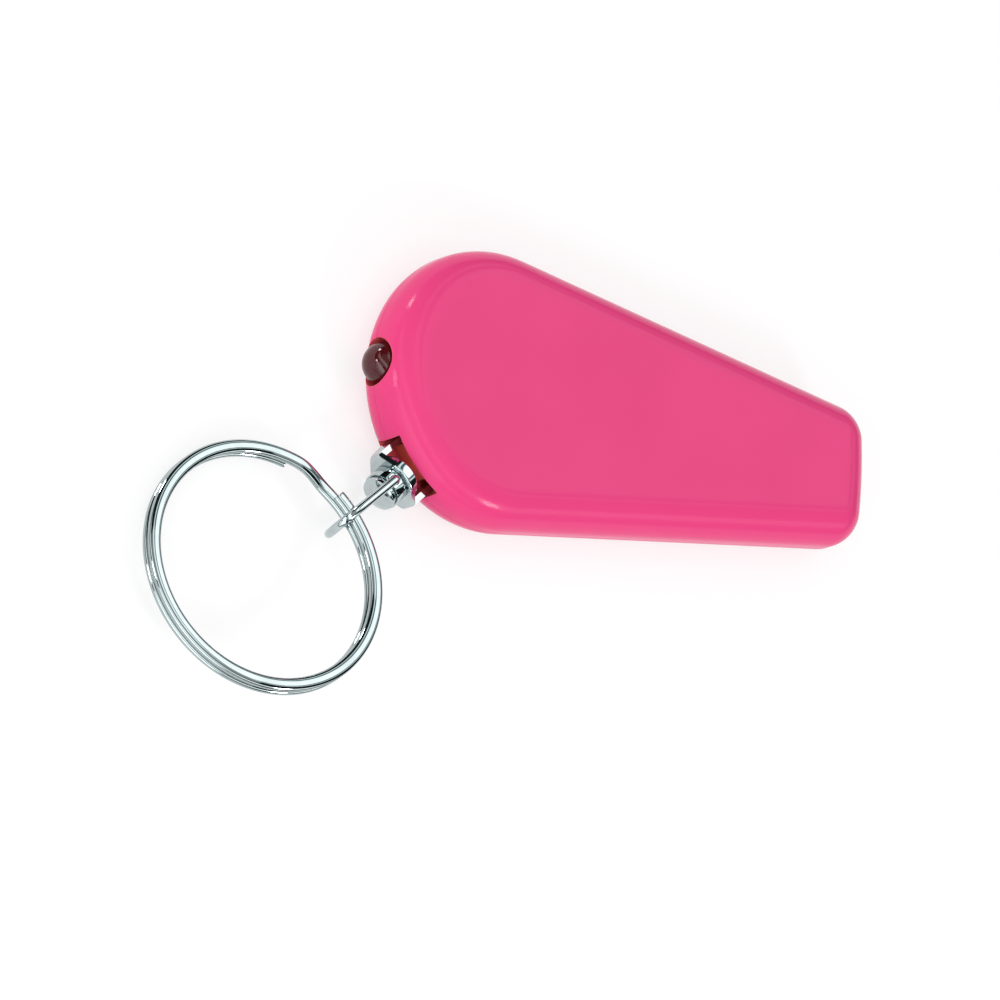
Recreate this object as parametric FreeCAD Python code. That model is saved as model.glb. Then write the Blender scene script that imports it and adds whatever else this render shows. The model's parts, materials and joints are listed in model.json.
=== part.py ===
"""Whistle key chain: a flat tear-drop whistle with a small light, a swivel and a split key ring.

X runs from the centre of the round end to the mouthpiece, Z is up through the thickness and
the flat back lies on Z = 0.  All sizes are millimetres and angles are degrees.
"""
import FreeCAD, Part
import math
import os

V = FreeCAD.Vector
UP = V(0, 0, 1)

# Driving dimensions of the whistle body
BODY_RADIUS = 15.9          # round end
BODY_REACH = 51.6           # centre of the round end to the mouth end
BODY_THICKNESS = 9.0
SEAM_Z = 4.0                # parting line; lamp, swivel and mouth slot are centred on it
EDGE_RADIUS = 4.1           # rounded front and back edges
MOUTH_HALF_WIDTH = 8.2
MOUTH_CORNER_RADIUS = 4.3   # corner of the mouth end, seen from the front
MOUTH_BOW_RADIUS = 60.0     # gentle bow of the mouth end
WALL = 1.4
SEAM_LIP_HEIGHT = 0.8
SEAM_LIP_THICKNESS = 0.65
SEAM_CLEARANCE = 0.05
CUT_OVERRUN = 2.0           # cutting shapes run on past the surface by this much

# Openings in the shells
LED_HOLE_DIAMETER = 5.6
SWIVEL_ANGLE = 225.2        # direction of the swivel, from the mouth direction
SLOT_WIDTH = 7.9            # along the wall
SLOT_HEIGHT = 4.3
MOUTH_SLOT_WIDTH = 9.2
MOUTH_SLOT_HEIGHT = 1.5
WINDOW_START = 33.6         # labium edge
WINDOW_LENGTH = 3.8
LABIUM_RAMP_LENGTH = 7.0
LABIUM_EDGE = 0.25
CHAMBER_START = 18.6        # whistle side of the dividing wall
DIVIDER_THICKNESS = 1.1
DIVIDER_OVERLAP = 0.3       # into the shell walls
INSERT_CLEARANCE = 0.06
DUCT_LIP_LENGTH = 2.2       # floor of the duct where it opens into the window

# Light
LED_DIAMETER = 5.0
LED_SIDE_SHIFT = 0.5        # the lamp sits this far to the side that the swivel leaves free
LED_LENGTH = 8.4
LED_FLANGE_DIAMETER = 5.8
LED_FLANGE_THICKNESS = 1.0
LED_STAND_OUT = 0.95        # dome tip beyond the round end
LEAD_SIZE = 0.5
LEAD_PITCH = 2.54
LEAD_REACH = 0.58           # from the light's base to the bend
LED_SEAT_CLEARANCE = 0.04
LED_SIDE_CLEARANCE = 0.1
SADDLE_WALL = 0.7
SADDLE_GAP = 2.4            # open strip under the lamp, between the two cheeks
LED_POCKET_CLEARANCE = 0.1  # round the lamp's flange, in the back wall
RAIL_DROP = 1.0             # rails and tie stop this far below the lamp's axis
RAIL_OVERLAP = 0.5

# Cells and contacts
CELL_DIAMETER = 12.5
CELL_HEIGHT = 1.6
CELL_EDGE = 0.2
CELL_CLEARANCE = 0.15
CONTACT_THICKNESS = 0.2
CONTACT_RING_HOLE = 6.0
CONTACT_TAIL_WIDTH = 1.0
CONTACT_CLEARANCE = 0.1
TAIL_CLEARANCE = 0.15
CLAMP_INSET = 1.0           # ring under the front wall, inside the cell's rim
CLAMP_WALL = 1.5
HOLDER_WALL = 1.0
HOLDER_FLOOR = 0.3
HOLDER_RIM = 0.5            # above the top of the cells
HOLDER_LEAD_GAP = 0.22      # between the lamp's leads and the holder

# Push button in the back
BUTTON_DIAMETER = 9.0
BUTTON_RECESS = 0.3
BUTTON_CLEARANCE = 0.05
BUTTON_FLANGE_DIAMETER = 10.6
BUTTON_FLANGE_THICKNESS = 0.5
BUTTON_PLAY = 0.1
BUTTON_TRAVEL = 0.8
BUTTON_EDGE = 0.3
BUTTON_DISH_RADIUS = 26.0
BUTTON_DISH_DEPTH = 0.25
DOME_DIAMETER = 8.6
DOME_THICKNESS = 0.12
DOME_CLEARANCE = 0.15       # left above the crown when the button is down

# Swivel parts
PIN_DIAMETER = 1.5
PIN_CLEARANCE = 0.03
PIN_CHAMFER = 0.15
PIN_DEPTH = 3.0             # pin axis inside the round end
PIN_LENGTH = 9.2
PIN_END_WALL = 0.2
LUG_HALF_WIDTH = 2.35
LUG_NOSE = 1.0              # beyond the pin axis
LUG_DEPTH = 3.4             # behind the pin axis
TIE_HALF_WIDTH = 2.0        # bar that joins the lug to the holder
EAR_ROOM = 1.6              # behind the pin axis
SLOT_ROOM = 3.0             # cleared behind the pin axis
EAR_SPAN = 7.2              # over both ears
EAR_THICKNESS = 0.7
EAR_HEIGHT = 2.4            # round the pin
FOLD_HEIGHT = 1.3           # where the strap is folded back
WEB_DIAMETER = 5.5
WEB_THICKNESS = 1.4
WEB_EDGE = 0.25
WEB_GAP = 0.9               # between the whistle wall and the web
SPINDLE_DIAMETER = 2.4
SPINDLE_CLEARANCE = 0.05
RIVET_DIAMETER = 2.8
RIVET_THICKNESS = 0.55
BARREL_DIAMETER = 4.45
BARREL_LENGTH = 1.75
BARREL_END_DIAMETER = 4.05
BARREL_END_LENGTH = 0.5
BARREL_GROOVE = 0.15
STUD_CHAMFER = 0.12
DOME_RISE = 0.6
LINK_HOLE_OFFSET = 0.95     # from the barrel's inner face
LINK_HOLE_DIAMETER = 1.2

# Link and split ring
LINK_WIRE = 1.05
LINK_WIDTH = 6.9
LINK_REACH = 10.05           # hole axis to the far outside of the link
LINK_CORNER_RADIUS = 0.85
STUD_SPIN = 14.0            # rest angle of the stud about its own axis
LINK_YAW = -3.4             # rest angle of the link about its hole
RING_DIAMETER = 30.0
RING_BAND = 2.1
RING_WIRE_HEIGHT = 0.78
RING_TURN_GAP = 0.05
RING_WIRE_CORNER = 0.24
RING_LINK_GAP = 0.15
RING_LIFT = 0.59             # the ring's wire above the middle of the link
RING_DESCENT = 0.05          # fall of the ring away from the link
RING_ROLL = -2.2
RING_TURN = -7.2            # turn of the ring about the place where it crosses the link
RING_END_ANGLE = 15.0       # upper cut end, from the link
RING_STEP_ANGLE = 27.0      # length of the step between the turns
RING_END_GAP_ANGLE = 3.0    # each cut end stops this far before the step

# Case screws
SCREW_SIDE_INSET = 7.3      # screws beside the chamber, in from the full half width
SCREW_DIVIDER_GAP = 3.2     # from the chamber's wall
SCREW_END_INSET = 5.95      # screw in the round end, in from its edge
SCREW_END_ANGLE = 135.0
SCREW_DIAMETER = 1.9
SCREW_LENGTH = 5.6
SCREW_POINT_LENGTH = 0.6
SCREW_POINT_DIAMETER = 0.5
SCREW_HEAD_DIAMETER = 3.2
SCREW_HEAD_HEIGHT = 1.0
SCREW_HEAD_SUNK = 0.25
SCREW_HEAD_EDGE = 0.35
SCREW_CLEARANCE = 0.1
SCREW_THREAD_GAP = 0.02
DRIVE_LENGTH = 2.2
DRIVE_WIDTH = 0.44
DRIVE_DEPTH = 0.5
BOSS_DIAMETER = 4.6

# Levels and places that follow from the sizes above
CAVITY_TOP = BODY_THICKNESS - WALL
CORNER_Y = MOUTH_HALF_WIDTH - MOUTH_CORNER_RADIUS
BOW_CENTRE_X = BODY_REACH - MOUTH_BOW_RADIUS
CORNER_X = BOW_CENTRE_X + math.sqrt((MOUTH_BOW_RADIUS - MOUTH_CORNER_RADIUS) ** 2 - CORNER_Y ** 2)
BUTTON_TOP = WALL + BUTTON_PLAY + BUTTON_FLANGE_THICKNESS
HOLDER_BASE_Z = BUTTON_TOP + BUTTON_TRAVEL + DOME_CLEARANCE + CONTACT_THICKNESS
CELL_BOTTOM_Z = HOLDER_BASE_Z + HOLDER_FLOOR
CELL_TOP_Z = CELL_BOTTOM_Z + 2 * CELL_HEIGHT
HOLDER_INNER_RADIUS = CELL_DIAMETER / 2 + CELL_CLEARANCE
HOLDER_OUTER_RADIUS = HOLDER_INNER_RADIUS + HOLDER_WALL
LED_TIP_X = -(BODY_RADIUS + LED_STAND_OUT)
LED_BASE_X = LED_TIP_X + LED_LENGTH
LEAD_OUT_X = LED_BASE_X + LEAD_REACH + LEAD_SIZE / 2
CELL_CENTRE_X = LEAD_OUT_X + HOLDER_LEAD_GAP + HOLDER_OUTER_RADIUS
PIN_DISTANCE = BODY_RADIUS - PIN_DEPTH
WEB_INNER = BODY_RADIUS + WEB_GAP
WEB_OUTER = WEB_INNER + WEB_THICKNESS
BARREL_START = WEB_OUTER + SPINDLE_CLEARANCE
LINK_HOLE_DISTANCE = BARREL_START + LINK_HOLE_OFFSET
SCREW_SIDE_Y = BODY_RADIUS - SCREW_SIDE_INSET
SCREW_SIDE_X = CHAMBER_START - SCREW_DIVIDER_GAP
SCREW_END_RADIUS = BODY_RADIUS - SCREW_END_INSET
SCREW_END_X = SCREW_END_RADIUS * math.cos(math.radians(SCREW_END_ANGLE))
SCREW_END_Y = SCREW_END_RADIUS * math.sin(math.radians(SCREW_END_ANGLE))
SCREW_PLACES = ((SCREW_SIDE_X, SCREW_SIDE_Y), (SCREW_SIDE_X, -SCREW_SIDE_Y),
                (SCREW_END_X, SCREW_END_Y))


def box(x0, x1, y0, y1, z0, z1):
    return Part.makeBox(x1 - x0, y1 - y0, z1 - z0, V(x0, y0, z0))


def cylinder(diameter, z0, z1, x=0.0, y=0.0):
    return Part.makeCylinder(diameter / 2, z1 - z0, V(x, y, z0))


def prism_xz(points, half_width):
    """A profile drawn in the X-Z plane, made as wide as asked on both sides of Y = 0."""
    corners = [V(x, -half_width, z) for x, z in points]
    return Part.Face(Part.makePolygon(corners + corners[:1])).extrude(V(0, 2 * half_width, 0))


def tube_along(wire, radius):
    """A round wire of the given radius along a path of lines and arcs."""
    edge = wire.Edges[0]
    start = edge.valueAt(edge.FirstParameter)
    direction = edge.tangentAt(edge.FirstParameter)
    circle = Part.Wire(Part.makeCircle(radius, start, direction))
    return Part.Wire(wire).makePipeShell([circle], True, False)


def swivel_place(distance=0.0, height=0.0):
    """The frame of the swivel: its X runs out of the whistle, its Y along the wall."""
    turn = FreeCAD.Rotation(UP, SWIVEL_ANGLE)
    return FreeCAD.Placement(turn.multVec(V(distance, 0, height)), turn)


def stud_place():
    """The stud's frame: the swivel's, spun about the axis that runs out of the whistle."""
    spin = FreeCAD.Placement(V(0, 0, 0), FreeCAD.Rotation(V(1, 0, 0), STUD_SPIN))
    return swivel_place(0, SEAM_Z).multiply(spin)


def placed(shape, placement):
    moved = shape.copy()
    moved.Placement = placement.multiply(moved.Placement)
    return moved


def body_outline(inset):
    """The tear-drop outline: two circles and a bowed end, joined by tangent lines."""
    big = BODY_RADIUS - inset
    small = MOUTH_CORNER_RADIUS - inset
    bow = MOUTH_BOW_RADIUS - inset
    reach = math.hypot(CORNER_X, CORNER_Y)
    tilt = math.atan2(CORNER_Y, CORNER_X) + math.acos((big - small) / reach)
    normal = V(math.cos(tilt), math.sin(tilt), 0)
    side = [normal * big, V(CORNER_X, CORNER_Y, 0) + normal * small]
    away = math.atan2(CORNER_Y, CORNER_X - BOW_CENTRE_X)
    meet = V(BOW_CENTRE_X + bow * math.cos(away), bow * math.sin(away), 0)
    middle = (tilt + away) / 2
    shoulder = V(CORNER_X + small * math.cos(middle), CORNER_Y + small * math.sin(middle), 0)

    def flip(point):
        return V(point.x, -point.y, 0)

    edges = [
        Part.Arc(flip(side[0]), V(-big, 0, 0), side[0]).toShape(),
        Part.LineSegment(side[0], side[1]).toShape(),
        Part.Arc(side[1], shoulder, meet).toShape(),
        Part.Arc(meet, V(BOW_CENTRE_X + bow, 0, 0), flip(meet)).toShape(),
        Part.Arc(flip(meet), flip(shoulder), flip(side[1])).toShape(),
        Part.LineSegment(flip(side[1]), flip(side[0])).toShape(),
    ]
    return Part.Face(Part.Wire(Part.__sortEdges__(edges)))


def slab(inset, z0, z1):
    face = body_outline(inset)
    face.translate(V(0, 0, z0))
    return face.extrude(V(0, 0, z1 - z0))


def pebble(inset):
    """The whole outer form, shrunk by an even inset on every side."""
    solid = slab(inset, inset, BODY_THICKNESS - inset)
    rims = [e for e in solid.Edges if e.BoundBox.ZLength < 1e-6]
    return solid.makeFillet(EDGE_RADIUS - inset, rims)


def swivel_slot():
    reach = box(PIN_DISTANCE - SLOT_ROOM, BODY_RADIUS + CUT_OVERRUN, -SLOT_WIDTH / 2,
                SLOT_WIDTH / 2, -SLOT_HEIGHT / 2, SLOT_HEIGHT / 2)
    return placed(reach, swivel_place(0, SEAM_Z))


def led_bore(diameter, x0, x1):
    return Part.makeCylinder(diameter / 2, x1 - x0, V(x0, LED_SIDE_SHIFT, SEAM_Z), V(1, 0, 0))


def mouth_slot():
    half = MOUTH_SLOT_HEIGHT / 2
    slot = box(CORNER_X, BODY_REACH + CUT_OVERRUN, -MOUTH_SLOT_WIDTH / 2, MOUTH_SLOT_WIDTH / 2,
               SEAM_Z - half, SEAM_Z + half)
    ends = [e for e in slot.Edges if e.BoundBox.XLength > WALL]
    return slot.makeFillet(half * 0.9, ends)


def shell_openings():
    bore = led_bore(LED_HOLE_DIAMETER, -BODY_RADIUS - CUT_OVERRUN, -BODY_RADIUS + 3 * WALL)
    return [swivel_slot(), bore, mouth_slot()]


def make_shells():
    wall = pebble(0).cut(pebble(WALL))
    lower = slab(-CUT_OVERRUN, -CUT_OVERRUN, SEAM_Z)
    rear = wall.common(lower)
    front = wall.cut(lower)

    lip = slab(WALL - SEAM_LIP_THICKNESS, SEAM_Z - SEAM_LIP_THICKNESS, SEAM_Z + SEAM_LIP_HEIGHT)
    lip = lip.cut(slab(WALL, SEAM_Z - 2 * SEAM_LIP_THICKNESS, SEAM_Z + 2 * SEAM_LIP_HEIGHT))
    groove = slab(WALL - SEAM_LIP_THICKNESS - SEAM_CLEARANCE, SEAM_Z,
                  SEAM_Z + SEAM_LIP_HEIGHT + SEAM_CLEARANCE)
    rear = rear.fuse(lip)
    front = front.cut(groove.cut(slab(2 * WALL, SEAM_Z, BODY_THICKNESS)))

    divider = box(CHAMBER_START - DIVIDER_THICKNESS, CHAMBER_START, -BODY_RADIUS, BODY_RADIUS,
                  WALL / 2, BODY_THICKNESS - WALL / 2)
    divider = divider.common(pebble(WALL - DIVIDER_OVERLAP))
    lip_room = slab(WALL, 0, BODY_THICKNESS)
    rear = rear.fuse(divider.common(box(0, BODY_REACH, -BODY_RADIUS, BODY_RADIUS, 0, SEAM_Z)))
    upper = divider.common(lip_room)
    upper = upper.common(box(0, BODY_REACH, -BODY_RADIUS, BODY_RADIUS, SEAM_Z, BODY_THICKNESS))
    front = front.fuse(upper)

    for x, y in SCREW_PLACES:
        rear = rear.fuse(cylinder(BOSS_DIAMETER, WALL / 2, SEAM_Z, x, y))
        front = front.fuse(cylinder(BOSS_DIAMETER, SEAM_Z, CAVITY_TOP + WALL / 2, x, y))
        head_room = SCREW_HEAD_DIAMETER + 2 * SCREW_CLEARANCE
        rear = rear.cut(cylinder(head_room, -CUT_OVERRUN, SCREW_HEAD_SUNK + SCREW_HEAD_HEIGHT, x, y))
        rear = rear.cut(cylinder(SCREW_DIAMETER + 2 * SCREW_CLEARANCE, 0, SEAM_Z + CUT_OVERRUN, x, y))
        depth = SCREW_HEAD_SUNK + SCREW_HEAD_HEIGHT + SCREW_LENGTH
        front = front.cut(cylinder(SCREW_DIAMETER + SCREW_THREAD_GAP, 0, depth + SCREW_CLEARANCE, x, y))

    clamp_outer = CELL_DIAMETER - 2 * CLAMP_INSET
    clamp = cylinder(clamp_outer, CELL_TOP_Z + CONTACT_THICKNESS, CAVITY_TOP + WALL / 2,
                     CELL_CENTRE_X)
    clamp = clamp.cut(cylinder(clamp_outer - 2 * CLAMP_WALL, 0, BODY_THICKNESS, CELL_CENTRE_X))
    front = front.fuse(clamp)

    hole = cylinder(BUTTON_DIAMETER + 2 * BUTTON_CLEARANCE, -CUT_OVERRUN, 2 * WALL, CELL_CENTRE_X)
    rear = rear.cut(hole)
    window = box(WINDOW_START, WINDOW_START + WINDOW_LENGTH, -MOUTH_SLOT_WIDTH / 2,
                 MOUTH_SLOT_WIDTH / 2, -CUT_OVERRUN, 2 * WALL)
    ramp = prism_xz([(WINDOW_START - LABIUM_RAMP_LENGTH, 0), (WINDOW_START, WALL - LABIUM_EDGE),
                     (WINDOW_START + LABIUM_EDGE, WALL - LABIUM_EDGE),
                     (WINDOW_START + LABIUM_EDGE, -CUT_OVERRUN),
                     (WINDOW_START - LABIUM_RAMP_LENGTH, -CUT_OVERRUN)], MOUTH_SLOT_WIDTH / 2)
    rear = rear.cut(window).cut(ramp)
    flange_room = LED_FLANGE_DIAMETER + 2 * LED_POCKET_CLEARANCE
    rear = rear.cut(led_bore(flange_room, LED_BASE_X - LED_FLANGE_THICKNESS - LED_POCKET_CLEARANCE,
                             LED_BASE_X + LED_POCKET_CLEARANCE))
    for opening in shell_openings():
        rear = rear.cut(opening)
        front = front.cut(opening)
    return {"rear_shell": rear, "front_shell": front}


def make_windway_insert():
    """The block in the mouthpiece: its duct slopes from the mouth slot to the window."""
    gap = INSERT_CLEARANCE
    block = pebble(WALL + gap)
    start = WINDOW_START + WINDOW_LENGTH + gap
    block = block.common(box(start, BODY_REACH, -BODY_RADIUS, BODY_RADIUS, 0, BODY_THICKNESS))
    half = MOUTH_SLOT_HEIGHT / 2
    inner_end = start - CUT_OVERRUN
    outer_end = BODY_REACH + CUT_OVERRUN
    floor_end = start + DUCT_LIP_LENGTH
    duct = prism_xz([(outer_end, SEAM_Z - half), (outer_end, SEAM_Z + half),
                     (inner_end, WALL + MOUTH_SLOT_HEIGHT), (inner_end, 0), (floor_end, 0),
                     (floor_end, WALL + gap)], MOUTH_SLOT_WIDTH / 2)
    return block.cut(duct)


def make_led():
    """A 5 mm lamp: dome, body and flange in one clear casting."""
    radius = LED_DIAMETER / 2
    flange = LED_FLANGE_DIAMETER / 2
    tip, base = LED_TIP_X, LED_BASE_X
    dome_centre = tip + radius
    shoulder = base - LED_FLANGE_THICKNESS
    slant = radius * math.sqrt(0.5)
    profile = Part.Wire([
        Part.LineSegment(V(tip, 0, 0), V(base, 0, 0)).toShape(),
        Part.LineSegment(V(base, 0, 0), V(base, flange, 0)).toShape(),
        Part.LineSegment(V(base, flange, 0), V(shoulder, flange, 0)).toShape(),
        Part.LineSegment(V(shoulder, flange, 0), V(shoulder, radius, 0)).toShape(),
        Part.LineSegment(V(shoulder, radius, 0), V(dome_centre, radius, 0)).toShape(),
        Part.Arc(V(dome_centre, radius, 0), V(dome_centre - slant, slant, 0),
                 V(tip, 0, 0)).toShape(),
    ])
    solid = Part.Face(profile).revolve(V(0, 0, 0), V(1, 0, 0), 360)
    solid.translate(V(0, LED_SIDE_SHIFT, SEAM_Z))
    return solid


def make_lead(side, z_end):
    """A square lead out of the lamp's base, bent up or down to its contact tail."""
    half = LEAD_SIZE / 2
    bend = LED_BASE_X + LEAD_REACH
    y = side * LEAD_PITCH / 2 + LED_SIDE_SHIFT
    level = box(LED_BASE_X, bend + half, y - half, y + half, SEAM_Z - half, SEAM_Z + half)
    low, high = sorted((SEAM_Z, z_end))
    return level.fuse(box(bend - half, bend + half, y - half, y + half, low, high)).removeSplitter()


def contact(z0, hole, side):
    """A sheet disc with a tail that runs out to the lamp's lead."""
    disc = cylinder(2 * (HOLDER_INNER_RADIUS - CONTACT_CLEARANCE), z0, z0 + CONTACT_THICKNESS,
                    CELL_CENTRE_X)
    y = side * LEAD_PITCH / 2 + LED_SIDE_SHIFT
    half = CONTACT_TAIL_WIDTH / 2
    tail_end = CELL_CENTRE_X - CELL_DIAMETER / 2 + CONTACT_TAIL_WIDTH
    tail = box(LED_BASE_X + LEAD_REACH - LEAD_SIZE, tail_end, y - half, y + half,
               z0, z0 + CONTACT_THICKNESS)
    shape = disc.fuse(tail).removeSplitter()
    if hole:
        shape = shape.cut(cylinder(hole, 0, BODY_THICKNESS, CELL_CENTRE_X))
    return shape


def make_cell(z0):
    cell = cylinder(CELL_DIAMETER, z0, z0 + CELL_HEIGHT, CELL_CENTRE_X)
    return cell.makeFillet(CELL_EDGE, [e for e in cell.Edges if e.BoundBox.ZLength < 1e-6])


def make_button():
    """Cap, retaining flange and a shallow thumb dish in the cap."""
    top = WALL + BUTTON_PLAY
    cap = cylinder(BUTTON_DIAMETER, BUTTON_RECESS, top, CELL_CENTRE_X)
    rim = [e for e in cap.Edges if abs(e.BoundBox.ZMax - BUTTON_RECESS) < 1e-6]
    cap = cap.makeFillet(BUTTON_EDGE, rim)
    flange = cylinder(BUTTON_FLANGE_DIAMETER, top, top + BUTTON_FLANGE_THICKNESS, CELL_CENTRE_X)
    dish_centre = BUTTON_RECESS + BUTTON_DISH_DEPTH - BUTTON_DISH_RADIUS
    dish = Part.makeSphere(BUTTON_DISH_RADIUS, V(CELL_CENTRE_X, 0, dish_centre))
    return cap.fuse(flange).removeSplitter().cut(dish)


def make_switch_dome():
    """A thin snap dome: its crown rests on the button and its rim on the contact ring."""
    low = BUTTON_TOP
    rise = BUTTON_TRAVEL + DOME_CLEARANCE
    half = DOME_DIAMETER / 2

    def arc(z_crown, z_rim):
        depth = z_rim - z_crown
        radius = (half ** 2 + depth ** 2) / (2 * depth)
        angle = math.asin(half / radius) / 2
        middle = V(radius * math.sin(angle), 0, z_crown + radius * (1 - math.cos(angle)))
        return Part.Arc(V(0, 0, z_crown), middle, V(half, 0, z_rim)).toShape()

    outer = arc(low, low + rise - DOME_THICKNESS)
    inner = arc(low + DOME_THICKNESS, low + rise)
    rim = Part.LineSegment(V(half, 0, low + rise - DOME_THICKNESS), V(half, 0, low + rise)).toShape()
    axis = Part.LineSegment(V(0, 0, low + DOME_THICKNESS), V(0, 0, low)).toShape()
    profile = Part.Wire(Part.__sortEdges__([outer, rim, inner, axis]))
    dome = Part.Face(profile).revolve(V(0, 0, 0), UP, 360)
    dome.translate(V(CELL_CENTRE_X, 0, 0))
    return dome


def make_inner_frame():
    """One moulding: the cell cup, the saddle for the lamp and the swivel's lug and cheeks."""
    top = CELL_TOP_Z + HOLDER_RIM
    frame = cylinder(2 * HOLDER_OUTER_RADIUS, WALL, top, CELL_CENTRE_X)
    frame = frame.cut(cylinder(2 * HOLDER_INNER_RADIUS, 0, HOLDER_BASE_Z, CELL_CENTRE_X))
    frame = frame.cut(cylinder(2 * HOLDER_INNER_RADIUS, CELL_BOTTOM_Z, BODY_THICKNESS, CELL_CENTRE_X))
    frame = frame.cut(cylinder(DOME_DIAMETER, 0, BODY_THICKNESS, CELL_CENTRE_X))

    saddle_half = LED_FLANGE_DIAMETER / 2 + SADDLE_WALL
    saddle_low, saddle_high = LED_SIDE_SHIFT - saddle_half, LED_SIDE_SHIFT + saddle_half
    seat_end = LED_BASE_X - LED_FLANGE_THICKNESS
    saddle = box(-BODY_RADIUS, seat_end, saddle_low, saddle_high, WALL, SEAM_Z)
    saddle = saddle.cut(led_bore(LED_DIAMETER + LED_SEAT_CLEARANCE, -BODY_RADIUS - CUT_OVERRUN,
                                 LED_BASE_X))
    saddle = saddle.cut(box(-BODY_RADIUS, seat_end, LED_SIDE_SHIFT - SADDLE_GAP / 2,
                            LED_SIDE_SHIFT + SADDLE_GAP / 2, 0, SEAM_Z))
    rail_inner = LED_FLANGE_DIAMETER / 2 + LED_SIDE_CLEARANCE
    cup_side = CELL_CENTRE_X - math.sqrt(HOLDER_OUTER_RADIUS ** 2 - saddle_high ** 2)
    rails = box(seat_end - RAIL_OVERLAP, cup_side + RAIL_OVERLAP, saddle_low, saddle_high,
                WALL, SEAM_Z - RAIL_DROP)
    rails = rails.cut(box(-BODY_RADIUS, BODY_RADIUS, LED_SIDE_SHIFT - rail_inner,
                          LED_SIDE_SHIFT + rail_inner, 0, SEAM_Z))
    rails = rails.cut(cylinder(2 * HOLDER_INNER_RADIUS, 0, BODY_THICKNESS, CELL_CENTRE_X))

    cheek = PIN_LENGTH / 2 + PIN_END_WALL
    tower = box(PIN_DISTANCE - LUG_DEPTH, BODY_RADIUS, -cheek, cheek, WALL, CELL_TOP_Z)
    ear_room = box(PIN_DISTANCE - EAR_ROOM, BODY_RADIUS, LUG_HALF_WIDTH, SLOT_WIDTH / 2,
                   SEAM_Z - SLOT_HEIGHT / 2, SEAM_Z + SLOT_HEIGHT / 2)
    other_room = ear_room.mirror(V(0, 0, 0), V(0, 1, 0))
    lug_front = box(PIN_DISTANCE + LUG_NOSE, BODY_RADIUS, -SLOT_WIDTH / 2, SLOT_WIDTH / 2,
                    SEAM_Z - SLOT_HEIGHT / 2, SEAM_Z + SLOT_HEIGHT / 2)
    bore = Part.makeCylinder(PIN_DIAMETER / 2 + PIN_CLEARANCE, 2 * (cheek + CUT_OVERRUN),
                             V(PIN_DISTANCE, -cheek - CUT_OVERRUN, SEAM_Z), V(0, 1, 0))
    tower = tower.cut(ear_room).cut(other_room).cut(lug_front).cut(bore)
    tie = box(HOLDER_INNER_RADIUS / 2, PIN_DISTANCE - EAR_ROOM, -TIE_HALF_WIDTH, TIE_HALF_WIDTH,
              WALL, SEAM_Z - RAIL_DROP)
    tower = tower.fuse(tie)
    tower = placed(tower, swivel_place())
    tower = tower.cut(cylinder(2 * HOLDER_INNER_RADIUS, 0, BODY_THICKNESS, CELL_CENTRE_X))

    frame = frame.fuse([saddle, rails, tower]).common(pebble(WALL + SEAM_CLEARANCE))
    notch_half = CONTACT_TAIL_WIDTH / 2 + TAIL_CLEARANCE
    for side, z0, z1 in ((1, CELL_TOP_Z - CONTACT_CLEARANCE, BODY_THICKNESS),
                         (-1, 0, HOLDER_BASE_Z)):
        y = side * LEAD_PITCH / 2 + LED_SIDE_SHIFT
        frame = frame.cut(box(LED_BASE_X, CELL_CENTRE_X, y - notch_half, y + notch_half, z0, z1))
    return frame.removeSplitter()


def make_pin():
    start = V(PIN_DISTANCE, -PIN_LENGTH / 2, 0)
    pin = Part.makeCylinder(PIN_DIAMETER / 2, PIN_LENGTH, start, V(0, 1, 0))
    pin = pin.makeChamfer(PIN_CHAMFER, [e for e in pin.Edges if e.BoundBox.YLength < 1e-6])
    return placed(pin, swivel_place(0, SEAM_Z))


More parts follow.
